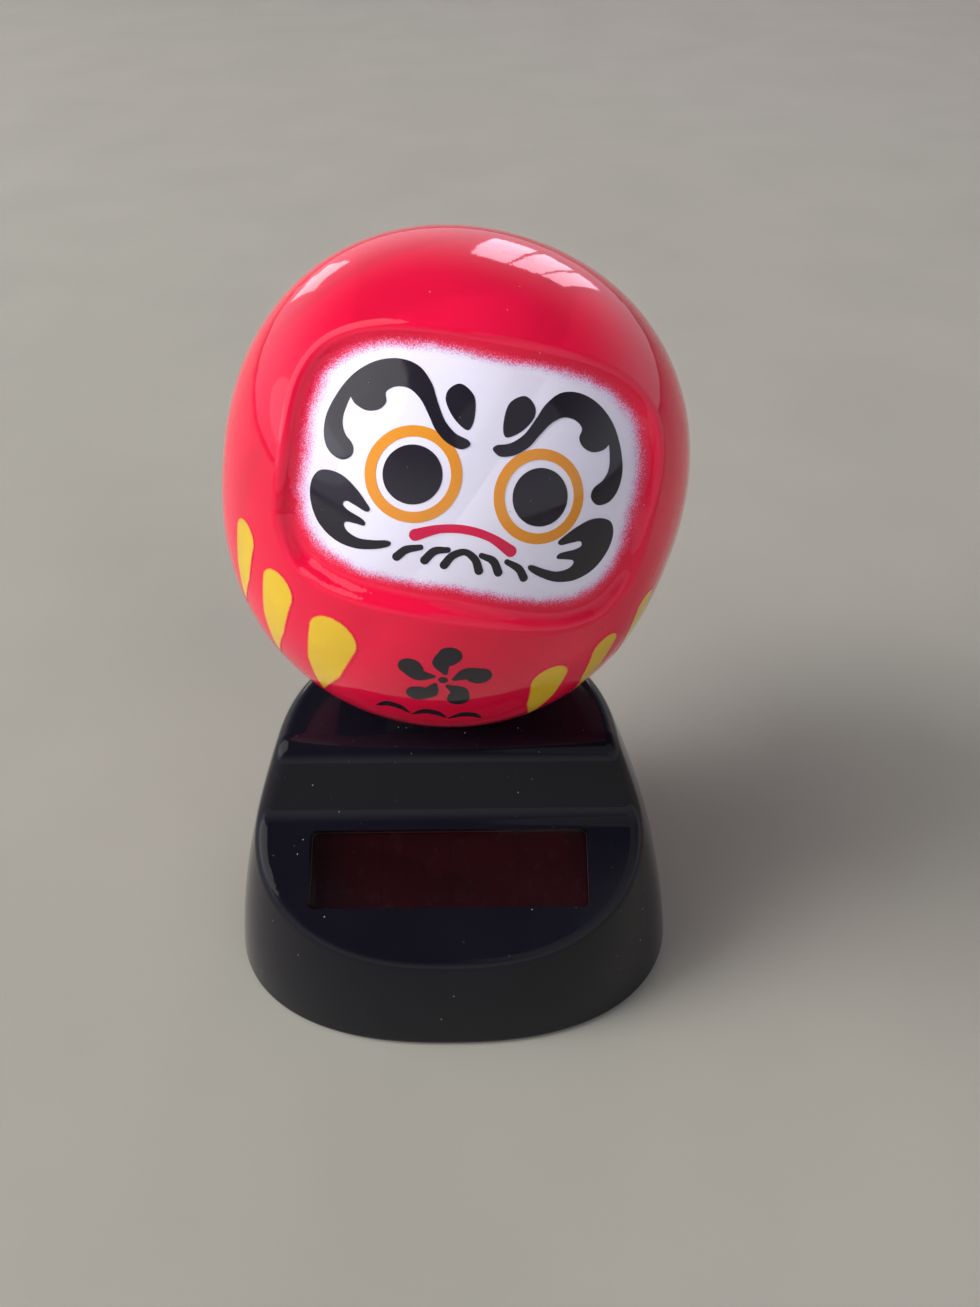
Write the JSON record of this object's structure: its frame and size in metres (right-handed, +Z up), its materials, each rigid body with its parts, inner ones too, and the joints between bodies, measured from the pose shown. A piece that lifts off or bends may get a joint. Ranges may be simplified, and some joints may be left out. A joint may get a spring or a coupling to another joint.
{
  "type": "solar rocking daruma doll",
  "caption": "Small solar-powered daruma: a glossy hollow round doll with a sunken face that rocks from side to side on a hidden pin above a domed black base with a solar window.",
  "frame": {"origin": "centre of the base's oval footprint, on the underside", "axes": "+Z up, the face and the solar window look towards -Y, +X to the right seen from the front"},
  "size_m": [0.0446, 0.0452, 0.0677],
  "materials": {
    "red_gloss": "high-gloss red lacquer over ABS",
    "black_shell": "polished black ABS",
    "black_cover": "fine-textured black ABS",
    "foam_tape": "white double-sided foam tape",
    "cell_glass": "clear float glass",
    "cell_film": "dark red-brown amorphous silicon film",
    "screw_steel": "zinc-plated steel",
    "pin_steel": "ground stainless steel",
    "weight_steel": "sheared mild steel",
    "acetal": "natural white acetal",
    "arm_plastic": "natural white ABS",
    "bobbin_nylon": "natural nylon",
    "magnet_wire": "enamelled copper wire",
    "board_laminate": "brown paper laminate",
    "epoxy_black": "black glob-top epoxy",
    "capacitor_sleeve": "dark blue shrink sleeve",
    "tinned_wire": "tinned wire",
    "lead_red": "red PVC insulation",
    "lead_black": "black PVC insulation",
    "magnet_nickel": "nickel-plated magnet",
    "paint_black": "glossy black ink of the face and of the belly's ornament",
    "paint_orange": "orange ink of the eye rings",
    "paint_crimson": "crimson ink of the mouth",
    "paint_yellow": "sprayed yellow of the belly's drops"
  },
  "bodies": {
    "base": {"base_shell": "black_shell", "cell_tape": "foam_tape", "solar_cell_glass": "cell_glass", "solar_cell_film": "cell_film", "bottom_cover": "black_cover", "cover_screws": "screw_steel", "pivot_mast": "acetal", "mast_screws": "screw_steel", "pivot_pin": "pin_steel", "coil_bobbin": "bobbin_nylon", "coil_winding": "magnet_wire", "coil_leads": "magnet_wire", "circuit_board": "board_laminate", "board_screws": "screw_steel", "chip_blob": "epoxy_black", "capacitor": "capacitor_sleeve", "capacitor_leads": "tinned_wire", "cell_lead_red": "lead_red", "cell_lead_black": "lead_black"},
    "doll": {"body_front": "red_gloss", "body_rear": "red_gloss", "pendulum_arm": "arm_plastic", "arm_screws": "screw_steel", "balance_weight": "weight_steel", "magnet_holder": "arm_plastic", "magnet": "magnet_nickel"}
  },
  "joints": [
    {"name": "rocking_pivot", "type": "hinge", "parent": "base", "child": "doll", "pos_m": [0, 0.007, 0.0418], "axis": [0, 1, 0], "range_deg": [-28.5, 3.5]}
  ]
}
